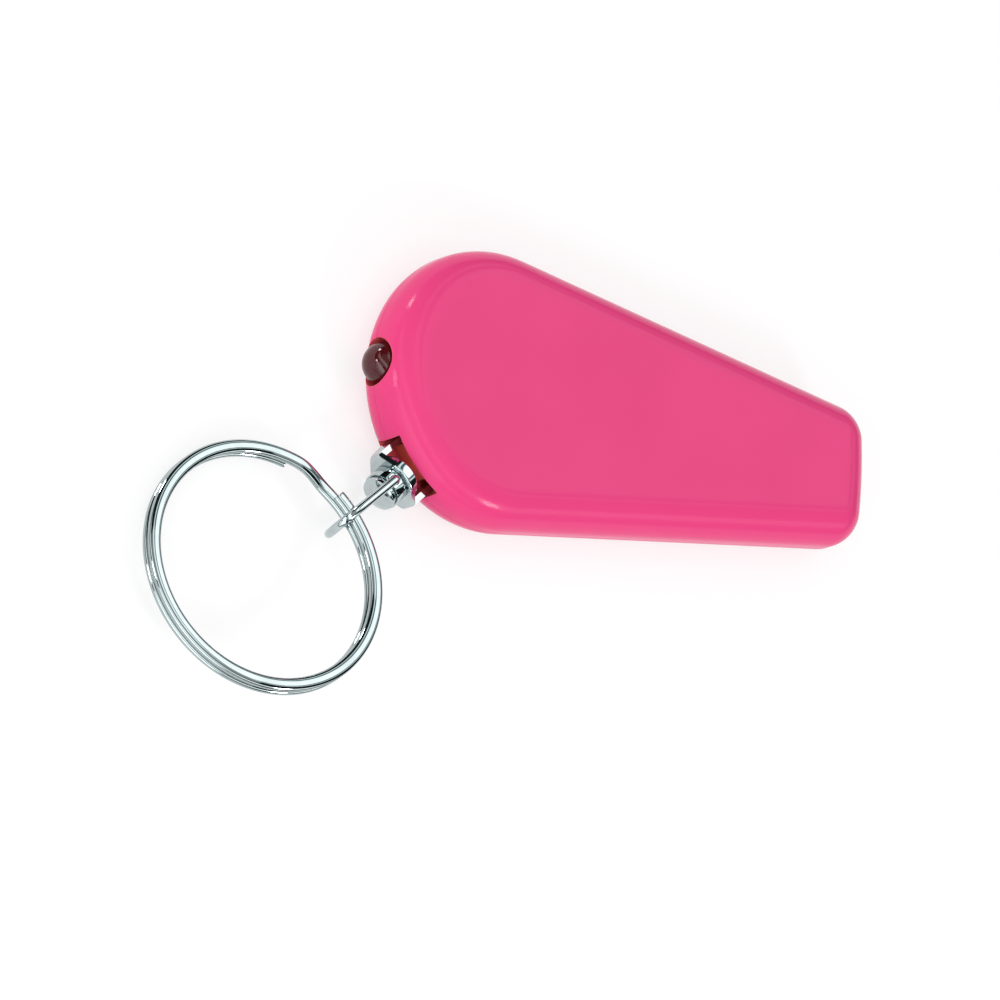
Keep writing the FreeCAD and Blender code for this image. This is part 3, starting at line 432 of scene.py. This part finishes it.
def seam_height():
    """Height of the parting line in millimetres; the swivel's spindle lies on it."""
    return joint_point("stud_spin")[2]


def key_ring_centre():
    """The middle of the split ring, in millimetres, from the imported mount."""
    for mount in frame["record"]["mounts"]:
        if mount["name"] == "key_ring":
            return np.array(mount["pos_m"]) / MM
    raise RuntimeError("the packed record has no key_ring mount")


class ShellSettings(bpy.types.PropertyGroup):
    """Finish of the case."""
    pink: bpy.props.StringProperty(name="Pink", description="Main colour of the case, sRGB hex",
                                   default="EA4783")
    pink_deep: bpy.props.StringProperty(name="Deeper pink", description="Cloudy patches, sRGB hex",
                                        default="E84580")
    red: bpy.props.StringProperty(name="Inner red", description="Inner moulding, sRGB hex",
                                  default="F4604E")
    red_deep: bpy.props.StringProperty(name="Deeper inner red", description="Cloudy patches of the "
                                       "inner moulding, sRGB hex", default="962825")
    # Painted glow: a red laid on the walls of the slot and the lamp hole, standing in for light through thin ABS.
    painted_opening_glow: bpy.props.StringProperty(name="Opening red", description="Walls of the slot and of "
                                      "the lamp hole, sRGB hex", default="F4646C")
    seam: bpy.props.StringProperty(name="Parting line", description="Hair line between the halves, "
                                   "sRGB hex", default="D03A70")
    gloss: bpy.props.FloatProperty(name="Roughness", description="Roughness of the case",
                                   default=0.13, min=0.0, max=1.0, subtype="FACTOR")


class LampSettings(bpy.types.PropertyGroup):
    """Sizes and colour of the clear lamp."""
    diameter: bpy.props.FloatProperty(name="Diameter", description="Body of the lamp, mm", default=5.0)
    flange: bpy.props.FloatProperty(name="Flange", description="Flange of the lamp, mm", default=5.8)
    cup: bpy.props.FloatProperty(name="Cup", description="Reflector cup's mouth, mm", default=1.9)
    # The tint is painted shade and painted refraction: the clear epoxy is drawn dark red, as the red moulding
    # looks through it.
    tint: bpy.props.StringProperty(name="Tint", description="Epoxy over the red moulding, sRGB hex",
                                   default="7C2027")


class DomeSettings(bpy.types.PropertyGroup):
    """Sizes of the snap dome."""
    thickness: bpy.props.FloatProperty(name="Thickness", description="Sheet of the dome, mm",
                                       default=0.12)
    rings: bpy.props.IntProperty(name="Rings", description="Points from the crown to the rim",
                                 default=20, min=3)


class RingSettings(bpy.types.PropertyGroup):
    """Sizes of the split ring."""
    diameter: bpy.props.FloatProperty(name="Diameter", description="Over the ring, mm", default=30.0)
    band: bpy.props.FloatProperty(name="Band", description="Wire across the ring, mm", default=1.6)
    height: bpy.props.FloatProperty(name="Height", description="Height of one turn, mm", default=1.05)
    lift: bpy.props.FloatProperty(name="Lift", description="Turns above the packed ring's middle, mm",
                                  default=0.2)
    gap: bpy.props.FloatProperty(name="Gap", description="Between the turns, mm", default=0.05)
    step_start: bpy.props.FloatProperty(name="Step", description="Start of the step from the link",
                                        default=math.radians(15.0), subtype="ANGLE", unit="ROTATION")
    step: bpy.props.FloatProperty(name="Step length", description="Angle that the step takes",
                                  default=math.radians(20.0), subtype="ANGLE", unit="ROTATION")
    end_gap: bpy.props.FloatProperty(name="End gap", description="Each cut end stops before the step",
                                     default=math.radians(3.0), subtype="ANGLE", unit="ROTATION")


class StageSettings(bpy.types.PropertyGroup):
    """The camera's frame and the light."""
    view_width: bpy.props.FloatProperty(name="View width", description="Width of the picture",
                                        default=0.1111, unit="LENGTH", subtype="DISTANCE")
    sky: bpy.props.FloatProperty(name="Sky", description="Even light from all sides", default=0.61)
    key: bpy.props.FloatProperty(name="Key", description="Power of the large soft lamp, W",
                                 default=0.85)
    fill: bpy.props.FloatProperty(name="Fill", description="Power of the low soft lamp, W",
                                  default=1.2)
    spark: bpy.props.FloatProperty(name="Spark", description="Power of the small near lamp, W",
                                   default=0.5)
    floor_gap: bpy.props.FloatProperty(name="Floor gap", description="Floor under the flat back",
                                       default=0.00002, unit="LENGTH", subtype="DISTANCE")
    floor_white: bpy.props.FloatProperty(name="Floor white", description="Glow of the seen floor",
                                         default=0.69)


class KEYCHAIN_OT_case(bpy.types.Operator):
    """Finish the two case halves, the button and the case screws."""
    bl_idname = "keychain.case"
    bl_label = "Case"

    def execute(self, context):
        look = context.scene.keychain_shell
        # The walls of the slot and the lamp hole get a painted red glow.
        pink = moulded_plastic("glossy pink ABS", look.pink, look.pink_deep, look.gloss, patch_mm=14.0,
                               overlays=((painted_glow_in_openings, look.painted_opening_glow),
                                         (on_parting_line, look.seam)))
        for node in ("front_shell", "rear_shell", "push_button"):
            dress(node, pink)
            soften_edges(node, CASE_EDGE)
        dress("case_screws", shiny_metal("zinc plated screw steel"))
        return {"FINISHED"}


class KEYCHAIN_OT_inside(bpy.types.Operator):
    """Finish the pieces inside the case."""
    bl_idname = "keychain.inside"
    bl_label = "Inside"

    def execute(self, context):
        look = context.scene.keychain_shell
        red = moulded_plastic("deep red ABS", look.red, look.red_deep, roughness=0.35, patch_mm=6.0)
        for finish, nodes in ((red, ("inner_frame", "windway_insert")),
                              (shiny_metal("pressed cell steel"), ("lower_cell", "upper_cell")),
                              (shiny_metal("spring brass"), ("positive_contact", "negative_contact")),
                              (shiny_metal("tinned lead wire"), ("led_anode_lead", "led_cathode_lead")),
                              (shiny_metal("ground pin steel"), ("bracket_pin",))):
            for node in nodes:
                dress(node, finish)
        return {"FINISHED"}


class KEYCHAIN_OT_dome(bpy.types.Operator):
    """Make the snap dome in its rest shape; in life it flattens as the button is pressed.

    Its crown points down at the button: z(r) = low + R - sqrt(R^2 - r^2) for a ball of radius R, and
    the upper face is one thickness higher.
    """
    bl_idname = "keychain.dome"
    bl_label = "Snap dome"

    def execute(self, context):
        size = context.scene.keychain_dome
        low, high = (np.array(corner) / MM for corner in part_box("switch_dome"))
        half = (high[0] - low[0]) / 2
        rise = high[2] - low[2]
        drop = rise - size.thickness
        ball = (half ** 2 + drop ** 2) / (2 * drop)
        radius = np.linspace(0, half, size.rings)
        curve = ball - np.sqrt(ball ** 2 - radius ** 2)
        under = np.stack([curve, radius], 1)
        over = np.stack([curve + size.thickness, radius], 1)[::-1]
        crown = np.array(((low[0] + high[0]) / 2, (low[1] + high[1]) / 2, low[2]))
        points, faces = lathe(np.concatenate([under, over]), crown, UP)
        dome = add_piece("snap_dome", points, faces, shiny_metal("snap dome spring steel"),
                         "whistle_body")
        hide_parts("switch_dome")
        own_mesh(dome)
        return {"FINISHED"}


class KEYCHAIN_OT_lamp(bpy.types.Operator):
    """Make the clear lamp with its reflector cup and post."""
    bl_idname = "keychain.lamp"
    bl_label = "Lamp"

    def execute(self, context):
        size = context.scene.keychain_lamp
        tip, length = lamp_tip()
        axis = np.array((1.0, 0.0, 0.0))
        radius, flange = size.diameter / 2, size.flange / 2
        dome = arc((radius, 0), radius, 180, 90, 25)
        flange_height = 1.0
        shoulder = length - flange_height
        rim = rounded_corners([(radius, radius), (shoulder, radius), (shoulder, flange),
                               (length, flange), (length, 0)], [0.15, 0.12, 0.12])
        points, faces = lathe(np.concatenate([dome[:-1], rim]), tip, axis)
        # The epoxy's dark red tint is painted shade and painted refraction of the moulding behind it.
        body = add_piece("lamp_body", points, faces, cast_epoxy(size.tint), "whistle_body")
        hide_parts("led_lamp")

        # The lead frame's post, from its foot to the lip of its cup: distances from the dome's point.
        rim, well, stem, wall = size.cup / 2, size.cup / 4, 0.8, 0.2
        foot, neck, cup_base, lip, well_floor = length - 0.4, 5.4, 4.6, 3.9, 4.5
        outline = [(foot, 0), (foot, stem), (neck, stem), (cup_base, rim + wall),
                   (lip, rim + wall), (lip, rim), (well_floor, well), (well_floor, 0)]
        profile = rounded_corners(outline, [0.1, 0.2, 0.2, 0.05, 0.05, 0.1])
        points, faces = lathe(profile, tip, axis, 64)
        post = add_piece("lamp_post", points, faces, shiny_metal("tinned lead frame"),
                         "whistle_body")
        return {"FINISHED"}


class KEYCHAIN_OT_swivel(bpy.types.Operator):
    """Finish the swivel's bracket and its turned stud."""
    bl_idname = "keychain.swivel"
    bl_label = "Swivel"

    def execute(self, context):
        chrome = shiny_metal("bright nickel-chrome plate")
        for node in ("swivel_bracket", "swivel_stud"):
            dress(node, chrome)
            soften_edges(node, SWIVEL_EDGE)
        return {"FINISHED"}


class KEYCHAIN_OT_link(bpy.types.Operator):
    """Finish the closed wire link."""
    bl_idname = "keychain.link"
    bl_label = "Link"

    def execute(self, context):
        dress("link_ring", shiny_metal("bright plated wire"))
        return {"FINISHED"}


class KEYCHAIN_OT_ring(bpy.types.Operator):
    """Make the split ring as one wire of two turns.

    At the angle a from the link, the wire's middle is at centre + m (cos a toward + sin a along) +
    h(a) normal. h is level on each turn and passes from one turn to the other as half a cosine over
    the step. The section is an oval, band wide and one turn's height high.
    """
    bl_idname = "keychain.ring"
    bl_label = "Split ring"

    def execute(self, context):
        size = context.scene.keychain_ring
        chrome = shiny_metal("bright plated spring wire")
        start = joint_point("ring_swing")
        along = unit(JOINTS["ring_swing"]["axis"])
        centre = key_ring_centre()
        toward = unit(start - centre)
        normal = np.cross(toward, along)
        level = (size.height + size.gap) / 2
        step_end = size.step_start + size.step
        turn = 2 * math.pi - size.step - size.end_gap
        angle = np.linspace(step_end + turn, size.step_start - turn, RING_POINTS)
        share = np.clip((angle - size.step_start) / size.step, 0, 1)
        height = size.lift - level * np.cos(np.pi * share)
        radial = np.cos(angle)[:, None] * toward + np.sin(angle)[:, None] * along
        middle = (size.diameter - size.band) / 2
        path = centre + middle * radial + height[:, None] * normal
        corner = np.linspace(0, 2 * np.pi, RING_SECTION_POINTS, endpoint=False)
        section = np.stack([np.cos(corner) * size.band / 2, np.sin(corner) * size.height / 2], 1)
        grow = np.ones(len(path))
        grow[:3] = RING_END_SCALES
        grow[-3:] = RING_END_SCALES[::-1]
        path[[0, 1]] = path[[2, 2]]
        path[[-1, -2]] = path[[-3, -3]]
        points = (path[:, None] + grow[:, None, None] * (section[None, :, :1] * radial[:, None]
                                                        + section[None, :, 1:] * normal))
        faces = grid_faces(len(path), len(section))
        ring = add_piece("split_ring_wire", points.reshape(-1, 3), faces, chrome, "split_ring")
        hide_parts("split_ring")
        return {"FINISHED"}


def area_lamp(name, power, size, place, aim):
    """A rectangular soft lamp at a place, turned to face a point."""
    lamp = bpy.data.lights.new(name, "AREA")
    lamp.energy = power
    lamp.shape = "RECTANGLE"
    lamp.size, lamp.size_y = size
    holder = bpy.data.objects.new(name, lamp)
    bpy.context.scene.collection.objects.link(holder)
    back = unit(np.array(place) - np.array(aim))
    right = unit(np.cross(UP, back))
    over = np.cross(back, right)
    holder.matrix_world = matrix_of(right, over, back, place)


def matrix_of(right, over, back, place):
    """A placement whose columns are three axes and a place."""
    rows = np.eye(4)
    rows[:3, 0], rows[:3, 1], rows[:3, 2], rows[:3, 3] = right, over, back, place
    return Matrix(rows.tolist())


def mirrored_bands(tree):
    """Light and dark bands round the studio, which only bright metal shows.

    The place along BANDS_ACROSS is half of 1 + d . BANDS_WAY + RIPPLE_DEPTH sin(RIPPLES azimuth) for
    a direction d, and d's height is the place along BANDS_UP, which multiplies it.
    """
    direction = add_node(tree, "ShaderNodeTexCoord").outputs["Generated"]
    split = add_node(tree, "ShaderNodeSeparateXYZ", {"Vector": direction}).outputs
    azimuth = add_node(tree, "ShaderNodeMath", {0: split["Y"], 1: split["X"]}, operation="ARCTAN2")
    phase = add_node(tree, "ShaderNodeMath", {0: azimuth.outputs[0], 1: RIPPLES},
                     operation="MULTIPLY")
    ripple = add_node(tree, "ShaderNodeMath", {0: phase.outputs[0]}, operation="SINE")
    toward = add_node(tree, "ShaderNodeVectorMath", {0: direction, 1: BANDS_WAY},
                      operation="DOT_PRODUCT")
    rippled = add_node(tree, "ShaderNodeMath", {0: ripple.outputs[0], 1: RIPPLE_DEPTH,
                                               2: toward.outputs["Value"]}, operation="MULTIPLY_ADD")
    share = add_node(tree, "ShaderNodeMath", {0: rippled.outputs[0], 1: 0.5, 2: 0.5},
                     operation="MULTIPLY_ADD")
    across = add_node(tree, "ShaderNodeValToRGB", {"Fac": share.outputs[0]})
    fill_ramp(across, BANDS_ACROSS)
    upward = add_node(tree, "ShaderNodeValToRGB", {"Fac": split["Z"]})
    fill_ramp(upward, BANDS_UP)
    both = add_node(tree, "ShaderNodeMix", {"Factor": 1.0, "A": across.outputs["Color"],
                                            "B": upward.outputs["Color"]},
                    data_type="RGBA", blend_type="MULTIPLY")
    return both.outputs["Result"]


def light_surround(scene, sky_strength):
    """An even sky, seen as white by the camera and through glass, and as bands by bright metal."""
    world = bpy.data.worlds.new("studio surround")
    scene.world = world
    world.use_nodes = True
    tree = world.node_tree
    tree.nodes.clear()
    path = add_node(tree, "ShaderNodeLightPath").outputs
    sky = add_node(tree, "ShaderNodeBackground", {"Color": WHITE, "Strength": sky_strength})
    mirror = add_node(tree, "ShaderNodeBackground", {"Color": mirrored_bands(tree),
                                                    "Strength": MIRROR_STRENGTH})
    white = add_node(tree, "ShaderNodeBackground", {"Color": WHITE, "Strength": 1.0})
    lit = add_node(tree, "ShaderNodeMixShader", {0: path["Is Glossy Ray"], 1: sky.outputs[0],
                                                2: mirror.outputs[0]})
    direct = add_node(tree, "ShaderNodeMath", {0: path["Is Camera Ray"],
                                              1: path["Is Transmission Ray"]}, operation="MAXIMUM")
    seen = add_node(tree, "ShaderNodeMixShader", {0: direct.outputs[0], 1: lit.outputs[0],
                                                 2: white.outputs[0]})
    add_node(tree, "ShaderNodeOutputWorld", {"Surface": seen.outputs[0]})


def white_paper(glow_strength):
    """Matt white paper that glows where it is seen, so that it looks white and keeps its shadows."""
    material, tree = new_material("white studio floor")
    path = add_node(tree, "ShaderNodeLightPath").outputs
    paper = add_node(tree, "ShaderNodeBsdfDiffuse", {"Color": PAPER})
    seen_paper = add_node(tree, "ShaderNodeBsdfDiffuse", {"Color": SEEN_PAPER})
    glow = add_node(tree, "ShaderNodeEmission", {"Color": WHITE, "Strength": glow_strength})
    both = add_node(tree, "ShaderNodeAddShader", {0: seen_paper.outputs[0], 1: glow.outputs[0]})
    direct = 0.0
    for ray in ("Is Camera Ray", "Is Transmission Ray", "Is Glossy Ray"):
        direct = add_node(tree, "ShaderNodeMath", {0: direct, 1: path[ray]},
                          operation="MAXIMUM").outputs[0]
    face = add_node(tree, "ShaderNodeMixShader", {0: direct, 1: paper.outputs[0],
                                                 2: both.outputs[0]})
    add_node(tree, "ShaderNodeOutputMaterial", {"Surface": face.outputs[0]})
    return material


class KEYCHAIN_OT_stage(bpy.types.Operator):
    """Make the white floor, the studio light and the camera."""
    bl_idname = "keychain.stage"
    bl_label = "Studio"

    def execute(self, context):
        stage = context.scene.keychain_stage
        scene = context.scene
        scene.view_settings.view_transform = "Standard"
        light_surround(scene, stage.sky)

        corners = [(x * FLOOR_HALF, y * FLOOR_HALF, -stage.floor_gap)
                   for x, y in ((-1, -1), (1, -1), (1, 1), (-1, 1))]
        mesh = bpy.data.meshes.new("studio_floor")
        mesh.from_pydata(corners, [], [(0, 1, 2, 3)])
        mesh.materials.append(white_paper(stage.floor_white))
        floor = bpy.data.objects.new("studio_floor", mesh)
        scene.collection.objects.link(floor)

        back = unit(np.cross(CAMERA_RIGHT, CAMERA_OVER))
        over = np.cross(back, CAMERA_RIGHT)
        target = np.array(CAMERA_TARGET) * MM
        lens = bpy.data.cameras.new("studio camera")
        lens.type = "ORTHO"
        lens.ortho_scale = stage.view_width
        lens.clip_start, lens.clip_end = CAMERA_CLIP
        camera = bpy.data.objects.new("studio camera", lens)
        scene.collection.objects.link(camera)
        camera.matrix_world = matrix_of(unit(CAMERA_RIGHT), over, back,
                                        target + back * CAMERA_DISTANCE)
        scene.camera = camera

        area_lamp("large soft lamp", stage.key, aim=target, **KEY_LAMP)
        area_lamp("low soft lamp", stage.fill, aim=target, **FILL_LAMP)
        for name, share, size, way in SMALL_LAMPS:
            place = target + np.array(way) * SMALL_LAMP_DISTANCE
            area_lamp(name, stage.spark * share, (size, size), place, target)
        return {"FINISHED"}


OPERATORS = (KEYCHAIN_OT_case, KEYCHAIN_OT_inside, KEYCHAIN_OT_dome, KEYCHAIN_OT_lamp,
             KEYCHAIN_OT_swivel, KEYCHAIN_OT_link, KEYCHAIN_OT_ring, KEYCHAIN_OT_stage)
SETTINGS = {"keychain_shell": ShellSettings, "keychain_lamp": LampSettings,
            "keychain_dome": DomeSettings, "keychain_ring": RingSettings,
            "keychain_stage": StageSettings}


class KEYCHAIN_PT_panel(bpy.types.Panel):
    """Lists the key chain's steps and settings."""
    bl_idname = "KEYCHAIN_PT_panel"
    bl_label = "Whistle key chain"
    bl_space_type = "VIEW_3D"
    bl_region_type = "UI"
    bl_category = "Key chain"

    def draw(self, context):
        for operator in OPERATORS:
            self.layout.operator(operator.bl_idname)
        for name, group in SETTINGS.items():
            box = self.layout.box()
            for key in group.__annotations__:
                box.prop(getattr(context.scene, name), key)


def register():
    """Registers the classes and hangs each group of settings on the scene."""
    for group in (*SETTINGS.values(), *OPERATORS, KEYCHAIN_PT_panel):
        bpy.utils.register_class(group)
    for name, group in SETTINGS.items():
        setattr(bpy.types.Scene, name, bpy.props.PointerProperty(type=group))


def unregister():
    """Takes off what register put on."""
    for name in SETTINGS:
        delattr(bpy.types.Scene, name)
    for group in (KEYCHAIN_PT_panel, *OPERATORS, *SETTINGS.values()):
        bpy.utils.unregister_class(group)


def main():
    """Builds the whole scene."""
    register()
    bpy.ops.keychain.case()
    bpy.ops.keychain.inside()
    bpy.ops.keychain.dome()
    bpy.ops.keychain.lamp()
    bpy.ops.keychain.swivel()
    bpy.ops.keychain.link()
    bpy.ops.keychain.ring()
    bpy.ops.keychain.stage()


if __name__ == "__main__":
    main()
